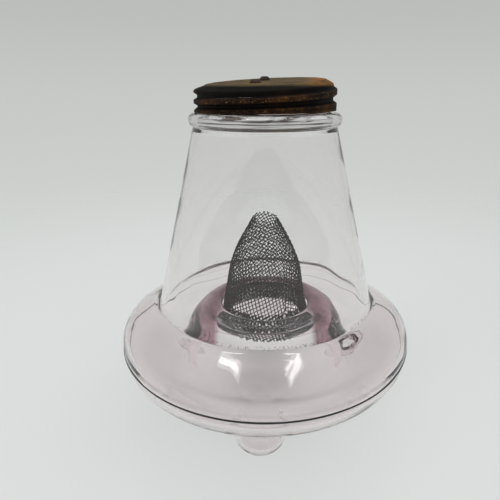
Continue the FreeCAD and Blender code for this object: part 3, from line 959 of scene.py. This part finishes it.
@dataclass
class WireCone:
    """The cone of woven wire: a steep side, a blunt nose, a torn tip and a hem folded inwards."""

    base_radius: float = 25.85
    base_height: float = 44.0
    mid_radius: float = 18.85
    mid_height: float = 86.0
    mid_round: float = 60.0
    top_radius: float = 5.0
    top_height: float = 110.0
    seam_angle: float = -62.0
    pitch: float = 1.9
    wire: float = 0.27
    lean: float = 38.0
    tear: float = 2.4
    hem_top: float = 57.5
    hem_insets: tuple[float, ...] = (1.0, 1.9)

    def radius_at(self, height: float) -> float:
        """The radius of the gauze at a height.

        Args:
            height: Millimetres above the table.

        Returns:
            The radius, with the round between side and nose.
        """
        steep = (self.mid_radius - self.base_radius) / (self.mid_height - self.base_height)
        blunt = (self.top_radius - self.mid_radius) / (self.top_height - self.mid_height)
        turn = math.atan(steep) - math.atan(blunt)
        half_length = self.mid_round * math.tan(turn / 2)
        start = self.mid_height - half_length * math.cos(math.atan(steep))
        end = self.mid_height + half_length * math.cos(math.atan(blunt))
        if height <= start:
            return self.base_radius + steep * (height - self.base_height)
        if height >= end:
            return self.top_radius + blunt * (height - self.top_height)
        share = (height - start) / (end - start)
        first = self.base_radius + steep * (start - self.base_height)
        last = self.top_radius + blunt * (end - self.top_height)
        return (
            first * (1 - share) ** 2
            + 2 * self.mid_radius * share * (1 - share)
            + last * share**2
        )

    def tip_height(self, angle: float) -> float:
        """Where the torn edge of the tip is in a direction.

        Args:
            angle: Direction in radians from +X.

        Returns:
            The height of the edge.
        """
        tilt = 0.9 * math.cos(angle - math.radians(120.0))
        return self.top_height - self.tear + tilt + 0.9 * noise.noise(
            Vector((math.cos(angle), math.sin(angle), 0.0)) * 4.0
        )

    def panel_wires(
        self, low: tuple[float, float], high: tuple[float, float], lay: Lay
    ) -> list[list[Vector]]:
        """The wires of one lay on one flat-cut panel that is rolled into a cone.

        Args:
            low: Radius and height of the panel's lower edge.
            high: Radius and height of its upper edge.
            lay: Which set of wires.

        Returns:
            The points of each wire.
        """
        slant = math.hypot(low[0] - high[0], high[1] - low[1])
        narrowing = (low[0] - high[0]) / slant
        outer = low[0] / narrowing
        inner = outer - slant
        half_sector = math.pi * narrowing
        tilt = math.radians(90.0 + self.lean * lay.value)
        along = Vector((math.cos(tilt), math.sin(tilt)))
        across = Vector((-along.y, along.x))
        reach = int(outer / self.pitch) + 2
        wires = []
        for line in range(-reach, reach + 1):
            wire: list[Vector] = []
            for half in range(-2 * reach, 2 * reach + 1):
                flat = across * (line * self.pitch) + along * (half * self.pitch / 2)
                point = self.rolled(flat, outer, inner, half_sector, narrowing, low, high)
                if point is None:
                    if len(wire) > 1:
                        wires.append(wire)
                    wire = []
                    continue
                weave = lay.value * math.cos(math.pi * (half / 2 + line))
                wire.append(point + self.normal_at(point) * (weave * self.wire * 0.9))
            if len(wire) > 1:
                wires.append(wire)
        return wires

    def rolled(
        self,
        flat: Vector,
        outer: float,
        inner: float,
        half_sector: float,
        narrowing: float,
        low: tuple[float, float],
        high: tuple[float, float],
    ) -> Vector | None:
        """Roll a point of the flat panel onto the cone.

        Args:
            flat: The point, with the cone's point as origin and the panel's middle on +Y.
            outer: Distance of the lower edge from the cone's point.
            inner: Distance of the upper edge.
            half_sector: Half the angle of the flat panel, in radians.
            narrowing: Radius over distance from the cone's point.
            low: Radius and height of the lower edge.
            high: Radius and height of the upper edge.

        Returns:
            The point on the cone, or None off the panel.
        """
        distance = flat.length
        if not inner <= distance <= outer:
            return None
        bearing = math.atan2(flat.x, flat.y)
        if abs(bearing) > half_sector:
            return None
        share = (outer - distance) / (outer - inner)
        height = low[1] + share * (high[1] - low[1])
        angle = math.radians(self.seam_angle) + math.pi + bearing / narrowing
        if height > self.tip_height(angle):
            return None
        radius = self.radius_at(height)
        return Vector((radius * math.cos(angle), radius * math.sin(angle), height))

    def normal_at(self, point: Vector) -> Vector:
        """The outward direction of the gauze at a point on it."""
        rise = self.radius_at(point.z - 0.5) - self.radius_at(point.z + 0.5)
        outward = Vector((point.x, point.y, 0.0)).normalized()
        return (outward + Vector((0.0, 0.0, rise))).normalized()

    def build(self, material: bpy.types.Material) -> bpy.types.Object:
        """Make the gauze.

        Args:
            material: The wire.

        Returns:
            The piece.
        """
        base = (self.base_radius, self.base_height)
        middle = (self.mid_radius, self.mid_height)
        top = (self.top_radius, self.top_height)
        hem = (self.radius_at(self.hem_top), self.hem_top)
        curve = bpy.data.curves.new("weave", "CURVE")
        curve.dimensions = "3D"
        curve.bevel_depth = self.wire
        curve.bevel_resolution = 0
        for lay in Lay:
            wires = self.panel_wires(base, middle, lay) + self.panel_wires(middle, top, lay)
            for wire in self.panel_wires(base, hem, lay):
                for inset_by in self.hem_insets:
                    wires.append([point - self.normal_at(point) * inset_by for point in wire])
            for wire in wires:
                spline = curve.splines.new("POLY")
                spline.points.add(len(wire) - 1)
                for place, point in zip(spline.points, wire):
                    place.co = (*point, 1.0)
        return finish_curve(curve, "woven_gauze", material, "cone", ["wire_cone"])


def finish_curve(
    curve: bpy.types.Curve,
    name: str,
    material: bpy.types.Material,
    body: str,
    stands_for: Sequence[str],
) -> bpy.types.Object:
    """Turn bevelled curves in millimetres into a piece of the trap.

    Args:
        curve: The curves; they are removed.
        name: The piece's name.
        material: Its finish.
        body: The CAD body that it rides on.
        stands_for: The CAD nodes that it replaces.

    Returns:
        The piece's object.
    """
    holder = bpy.data.objects.new(name + "_curve", curve)
    bpy.context.scene.collection.objects.link(holder)
    bpy.context.view_layer.update()
    tubes = bpy.data.meshes.new_from_object(holder)
    bpy.data.objects.remove(holder)
    bpy.data.curves.remove(curve)
    shape = bmesh.new()
    shape.from_mesh(tubes)
    bpy.data.meshes.remove(tubes)
    return finish_piece(shape, name, [material], body, stands_for)


@dataclass
class LacingWire:
    """The wire stitched along the gauze's seam."""

    cone: WireCone
    bottom: float = 45.8
    top: float = 73.8
    stitches: int = 6
    wire: float = 0.3
    swing: float = 1.1

    def build(self, material: bpy.types.Material) -> bpy.types.Object:
        """Make the wire.

        Args:
            material: The wire's finish.

        Returns:
            The piece.
        """
        curve = bpy.data.curves.new("stitches", "CURVE")
        curve.dimensions = "3D"
        curve.bevel_depth = self.wire
        curve.bevel_resolution = 2
        spline = curve.splines.new("NURBS")
        count = self.stitches * 4
        spline.points.add(count)
        for place in range(count + 1):
            share = place / count
            height = self.bottom + (self.top - self.bottom) * share
            radius = self.cone.radius_at(height)
            phase = place * math.pi / 2
            side = self.swing * math.sin(phase)
            depth = 0.75 * math.cos(phase)
            angle = math.radians(self.cone.seam_angle) + side / radius
            out = radius + depth
            spline.points[place].co = (out * math.cos(angle), out * math.sin(angle), height, 1.0)
        spline.order_u = 3
        spline.use_endpoint_u = True
        return finish_curve(
            curve, "seam_lacing", material, "cone", ["cone_lacing_wire"]
        )


@dataclass
class ScrewCap:
    """The pressed tin cap, a little askew, with the thread rolled into its side."""

    steps: int = 220
    top: float = 178.5
    rim: float = 163.9
    side: float = 34.45
    sheet: float = 0.5
    bevel: float = 2.2
    bevel_run: float = 4.2
    bevel_round: float = 1.3
    roll_height: float = 1.85
    roll_half_crest: float = 0.9
    roll_half_root: float = 2.6
    pitch: float = 6.35
    roll_start: float = 160.05
    roll_turns: float = 2.62
    roll_fade: float = 0.12
    rim_band: float = 1.1
    rim_flare: float = 1.5
    rim_lean: tuple[float, float] = (0.011, -0.01)
    top_lean: tuple[float, float] = (0.046, 0.064)
    sink: float = 0.36
    dent: float = 0.35
    dent_length: float = 13.0

    def outside(self) -> list[Corner]:
        """The outer face of the tin without the rolled thread, from the middle to the rim."""
        flare = self.rim + self.rim_band
        return [
            Corner(0.0, self.top),
            Corner(self.side - self.bevel_run, self.top, self.bevel_round),
            Corner(self.side, self.top - self.bevel, self.bevel_round),
            Corner(self.side, flare + self.rim_flare, 0.8),
            Corner(self.side + self.roll_height, flare, 0.8),
            Corner(self.side + self.roll_height, self.rim),
        ]

    def roll_at(self, angle: float, height: float) -> float:
        """How far the rolled thread stands out.

        Args:
            angle: Direction in radians from +X.
            height: Height of the place.

        Returns:
            The distance, in millimetres.
        """
        turns = (angle % FULL_TURN) / FULL_TURN
        from_start = (height - self.roll_start) / self.pitch - turns
        nearest = round(from_start)
        length = nearest + turns
        if length > self.roll_turns:
            return 0.0
        aside = abs(from_start - nearest) * self.pitch
        width = self.roll_half_root - self.roll_half_crest
        fade = smooth_step((self.roll_turns - length) / self.roll_fade)
        return self.roll_height * fade * smooth_step((self.roll_half_root - aside) / width)

    def lifted(self, place: Vector) -> float:
        """How much a place of the cap stands higher because the cap is askew and dented.

        Args:
            place: The place on the level cap.

        Returns:
            The rise, in millimetres.
        """
        share = smooth_step((place.z - self.rim) / (self.top - self.rim))
        low = self.rim_lean[0] * place.x + self.rim_lean[1] * place.y
        high = self.top_lean[0] * place.x + self.top_lean[1] * place.y - self.sink
        dents = self.dent * share * noise.noise(Vector((place.x, place.y, 0.0)) / self.dent_length)
        return low * (1.0 - share) + high * share - abs(dents)

    def roll_thread(self, shape: bmesh.types.BMesh) -> None:
        """Press the rolled thread into the side.

        Args:
            shape: The lathed cap.
        """
        flat = self.side - self.bevel_run
        for vert in shape.verts:
            radius = math.hypot(vert.co.x, vert.co.y)
            if radius < flat or vert.co.z < self.rim + self.rim_band:
                continue
            angle = math.atan2(vert.co.y, vert.co.x)
            skin = self.side if radius > self.side - self.sheet / 2 else self.side - self.sheet
            flared = max(0.0, radius - skin)
            on_bevel = smooth_step((radius - flat) / self.bevel_run)
            out = max(0.0, self.roll_at(angle, vert.co.z) * on_bevel - flared)
            vert.co.x *= (radius + out) / radius
            vert.co.y *= (radius + out) / radius

    def build(self, material: bpy.types.Material) -> bpy.types.Object:
        """Make the cap.

        Args:
            material: The tin.

        Returns:
            The piece.
        """
        outer = self.outside()
        inner = inset(outer, -self.sheet)
        shape = bmesh.new()
        draw_section(
            shape,
            outer + inner[::-1],
            closed=False,
            step=lambda place: 0.4 if place.x > self.side - self.bevel_run - 1.0 else 2.0,
        )
        lathe(shape, self.steps)
        self.roll_thread(shape)
        for vert in shape.verts:
            vert.co.z += self.lifted(vert.co)
        return finish_piece(shape, "tin_cap", [material], "cap", ["screw_cap"])


@dataclass
class Rivets:
    """The two rivets through the crown of the cap, with their clinched tails."""

    cap: ScrewCap
    places: tuple[tuple[float, float], ...] = ((-4.75, -8.24), (-0.25, 11.24))
    head: float = 2.95
    dome: float = 1.9
    shank: float = 1.15
    tail: float = 2.1
    tail_height: float = 0.7
    steps: int = 32

    def build(self, material: bpy.types.Material) -> bpy.types.Object:
        """Make both rivets.

        Args:
            material: Their metal.

        Returns:
            The piece.
        """
        shape = bmesh.new()
        seat = self.cap.top
        under = seat - self.cap.sheet - Strap.thickness
        corners = [
            Corner(0.0, seat + self.dome),
            Corner(self.head * 0.62, seat + self.dome, 1.4),
            Corner(self.head, seat + 0.35, 0.7),
            Corner(self.head, seat - 0.2, 0.1),
            Corner(self.shank, seat - 0.2),
            Corner(self.shank, under),
            Corner(self.tail, under, 0.2),
            Corner(self.tail, under - self.tail_height, 0.3),
            Corner(0.0, under - self.tail_height),
        ]
        for across, back in self.places:
            rivet = bmesh.new()
            draw_section(rivet, corners, closed=False, step=lambda place: 0.45)
            lathe(rivet, self.steps)
            rise = self.cap.lifted(Vector((across, back, seat)))
            bmesh.ops.translate(rivet, vec=(across, back, rise), verts=rivet.verts[:])
            data = bpy.data.meshes.new("rivet")
            rivet.to_mesh(data)
            rivet.free()
            shape.from_mesh(data)
            bpy.data.meshes.remove(data)
        return finish_piece(shape, "rivet_heads", [material], "cap", ["cap_rivets"])


@dataclass
class Strap:
    """The tin strap inside the cap that the rivets hold."""

    cap: ScrewCap
    middle: tuple[float, float] = (-2.5, 1.5)
    angle: float = 77.0
    length: float = 30.0
    width: float = 9.0
    thickness: float = 0.8
    corner: float = 2.0

    def build(self, material: bpy.types.Material) -> bpy.types.Object:
        """Make the strap.

        Args:
            material: Its metal.

        Returns:
            The piece.
        """
        shape = bmesh.new()
        bmesh.ops.create_cube(shape, size=1.0)
        bmesh.ops.scale(shape, vec=(self.length, self.width, self.thickness), verts=shape.verts[:])
        uprights = [
            edge for edge in shape.edges if abs(edge.verts[0].co.z - edge.verts[1].co.z) > 0.1
        ]
        bmesh.ops.bevel(
            shape,
            geom=uprights,
            offset=self.corner,
            offset_type="OFFSET",
            segments=5,
            profile=0.5,
            affect="EDGES",
            material=-1,
        )
        seat = self.cap.top - self.cap.sheet - self.thickness / 2
        bmesh.ops.rotate(
            shape,
            cent=(0.0, 0.0, 0.0),
            matrix=Matrix.Rotation(math.radians(self.angle), 3, "Z"),
            verts=shape.verts[:],
        )
        bmesh.ops.translate(shape, vec=(*self.middle, seat), verts=shape.verts[:])
        for vert in shape.verts:
            crown = Vector((vert.co.x, vert.co.y, self.cap.top))
            vert.co.z += self.cap.lifted(crown)
        piece = finish_piece(shape, "backing_strap", [material], "cap", ["rivet_strap"])
        for part in piece.data.polygons:
            part.use_smooth = False
        return piece


@dataclass
class Liner:
    """The thin level ring of pulp board on the lip, clear of the askew crown at every turn."""

    lip: float
    hole: float = 27.0
    edge: float = 29.9
    thickness: float = 0.5
    steps: int = 120

    def build(self, material: bpy.types.Material) -> bpy.types.Object:
        """Make the ring.

        Args:
            material: The board.

        Returns:
            The piece.
        """
        low = self.lip + 0.05
        high = low + self.thickness
        shape = bmesh.new()
        corners = [
            Corner(self.hole, low, 0.15),
            Corner(self.edge, low, 0.15),
            Corner(self.edge, high, 0.15),
            Corner(self.hole, high, 0.15),
        ]
        draw_section(shape, corners, closed=True, step=lambda place: 0.8)
        lathe(shape, self.steps)
        return finish_piece(
            shape, "liner_ring", [material], "liner", ["cap_liner"]
        )


@dataclass(frozen=True)
class Lamp:
    """A soft rectangular lamp. One that is aimed isn't seen in the glass; the others are.

    Attributes:
        name: Its name.
        place: Its middle, in metres.
        width: Its side along X, in metres.
        length: Its side along Y, in metres.
        power: Its power, in watts.
        aim: The point that it faces, in metres, or None for straight down.
        turn: For a lamp that faces straight down, its bearing in degrees.
    """

    name: str
    place: tuple[float, float, float]
    width: float
    length: float
    power: float
    aim: tuple[float, float, float] | None = None
    turn: float = 0.0


@dataclass
class Studio:
    """A pale table under soft light, and the camera where the photograph was taken."""

    camera_place: tuple[float, float, float] = (0.0, -237.7, 176.3)
    pitch_down: float = 20.54
    focal_pixels: float = 440.0
    picture_pixels: float = 500.0
    axis_pixel: float = 265.2
    table_radius: float = 2600.0
    table_colour: str = "DCDEDC"
    backdrop: tuple[tuple[float, str], ...] = (
        (0.0, "D9DDDA"),
        (0.325, "D2D7D4"),
        (0.415, "CDCFCC"),
        (0.5, "C6C8C5"),
        (0.56, "BDBFBC"),
        (0.67, "B0B2B0"),
        (0.74, "86888B"),
        (0.81, "86888B"),
        (0.9, "F2F4F5"),
        (1.0, "FFFFFF"),
    )
    lamps: tuple[Lamp, ...] = (
        Lamp("overhead", (0.1, 0.2, 1.5), 1.2, 1.2, 9.0, aim=(0.0, 0.0, 0.05)),
        Lamp("window", (-1.3, -0.6, 0.9), 0.9, 0.9, 3.5, aim=(0.0, 0.0, 0.08)),
        Lamp("left_core", (-0.403, -0.18, 1.25), 0.26, 0.02, 0.12, turn=-27.6),
        Lamp("left_halo", (-0.403, -0.18, 1.26), 0.32, 0.055, 0.17, turn=-27.6),
        Lamp("right_core", (0.323, -0.208, 1.25), 0.18, 0.03, 0.12, turn=35.6),
        Lamp("right_halo", (0.323, -0.208, 1.26), 0.23, 0.07, 0.16, turn=35.6),
    )

    def build_camera(self) -> None:
        """Make the camera."""
        data = bpy.data.cameras.new("camera")
        data.sensor_width = 36.0
        data.lens = data.sensor_width * self.focal_pixels / self.picture_pixels
        data.shift_x = (self.picture_pixels / 2 - self.axis_pixel) / self.picture_pixels
        data.clip_start = 0.01
        data.clip_end = 20.0
        camera = bpy.data.objects.new("camera", data)
        camera.location = Vector(self.camera_place) * METRES
        camera.rotation_euler = (math.radians(90.0 - self.pitch_down), 0.0, 0.0)
        bpy.context.scene.collection.objects.link(camera)
        bpy.context.scene.camera = camera

    def build_table(self) -> None:
        """Make the table, which fades into the backdrop."""
        shape = bmesh.new()
        bmesh.ops.create_circle(
            shape, cap_ends=True, segments=96, radius=self.table_radius * METRES
        )
        data = bpy.data.meshes.new("table")
        shape.to_mesh(data)
        shape.free()
        table = bpy.data.objects.new("table", data)
        bpy.context.scene.collection.objects.link(table)
        material, tree, spot = start_material("pale_gloss_table")
        distance = add_node(tree, "ShaderNodeVectorMath", {0: spot}, operation="LENGTH")
        fade = add_node(
            tree,
            "ShaderNodeMapRange",
            {"Value": distance.outputs["Value"], "From Min": 0.16, "From Max": 0.75},
            interpolation_type="SMOOTHSTEP",
        )
        surface = add_node(
            tree,
            "ShaderNodeBsdfPrincipled",
            {
                "Base Color": srgb(self.table_colour),
                "Roughness": 0.3,
                "Specular IOR Level": 0.3,
            },
        )
        clear = add_node(tree, "ShaderNodeBsdfTransparent")
        mixed = add_node(
            tree,
            "ShaderNodeMixShader",
            {0: fade.outputs["Result"], 1: surface.outputs["BSDF"], 2: clear.outputs["BSDF"]},
        )
        add_node(tree, "ShaderNodeOutputMaterial", {"Surface": mixed.outputs["Shader"]})
        data.materials.append(material)

    def build_backdrop(self) -> None:
        """Make the backdrop: pale all round, a darker room above it and a pale ceiling."""
        world = bpy.data.worlds.new("backdrop")
        world.use_nodes = True
        tree = world.node_tree
        tree.nodes.clear()
        coordinates = add_node(tree, "ShaderNodeTexCoord")
        place = add_node(
            tree, "ShaderNodeSeparateXYZ", {"Vector": coordinates.outputs["Generated"]}
        )
        height = add_node(
            tree,
            "ShaderNodeMapRange",
            {"Value": place.outputs["Z"], "From Min": -1.0, "From Max": 1.0},
        )
        colour = add_ramp(tree, height.outputs["Result"], self.backdrop)
        light = add_node(tree, "ShaderNodeBackground", {"Color": colour, "Strength": 1.0})
        add_node(tree, "ShaderNodeOutputWorld", {"Surface": light.outputs["Background"]})
        bpy.context.scene.world = world

    def add_lamp(self, lamp: Lamp) -> None:
        """Add a soft lamp.

        Args:
            lamp: What it is and where.
        """
        data = bpy.data.lights.new(lamp.name, "AREA")
        data.shape = "RECTANGLE"
        data.size = lamp.width
        data.size_y = lamp.length
        data.energy = lamp.power
        holder = bpy.data.objects.new(lamp.name, data)
        holder.location = lamp.place
        if lamp.aim:
            towards = Vector(lamp.aim) - Vector(lamp.place)
            holder.rotation_euler = towards.to_track_quat("-Z", "Y").to_euler()
        else:
            holder.rotation_euler = (0.0, 0.0, math.radians(lamp.turn))
        holder.visible_glossy = not lamp.aim
        holder.visible_transmission = not lamp.aim
        holder.visible_camera = False
        bpy.context.scene.collection.objects.link(holder)

    def build(self) -> None:
        """Make the whole studio."""
        self.build_camera()
        self.build_table()
        self.build_backdrop()
        for lamp in self.lamps:
            self.add_lamp(lamp)
        scene = bpy.context.scene
        scene.view_settings.view_transform = "Standard"
        scene.cycles.max_bounces = 24
        scene.cycles.transmission_bounces = 24
        scene.cycles.glossy_bounces = 8
        scene.cycles.transparent_max_bounces = 16
        scene.cycles.caustics_refractive = False
        scene.cycles.caustics_reflective = False


@dataclass
class FlyTrap:
    """The whole trap."""

    glass: GlassBody = field(default_factory=GlassBody)
    cone: WireCone = field(default_factory=WireCone)
    cap: ScrewCap = field(default_factory=ScrewCap)

    def build(self) -> None:
        """Make every piece."""
        self.glass.build(LilacGlass().build(), SeamShadeLine().build())
        self.cone.build(WireSteel("dull_steel_wire").build())
        LacingWire(self.cone).build(WireSteel("lacing_steel", "4A433C", "201A16").build())
        self.cap.build(RustyTin().build())
        Rivets(self.cap).build(WireSteel("rivet_steel", "3E2C1E", "1A110B", patch=4.0).build())
        Strap(self.cap).build(WireSteel("dull_tinplate", "857A6C", "4B4037", 0.5, 8.0).build())
        Liner(self.glass.lip_height).build(PulpBoard().build())


def main() -> None:
    """Build the trap and its studio."""
    logging.basicConfig(level=logging.INFO, format="%(name)s: %(message)s")
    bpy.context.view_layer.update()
    FlyTrap().build()
    Studio().build()


if __name__ == "__main__":
    main()
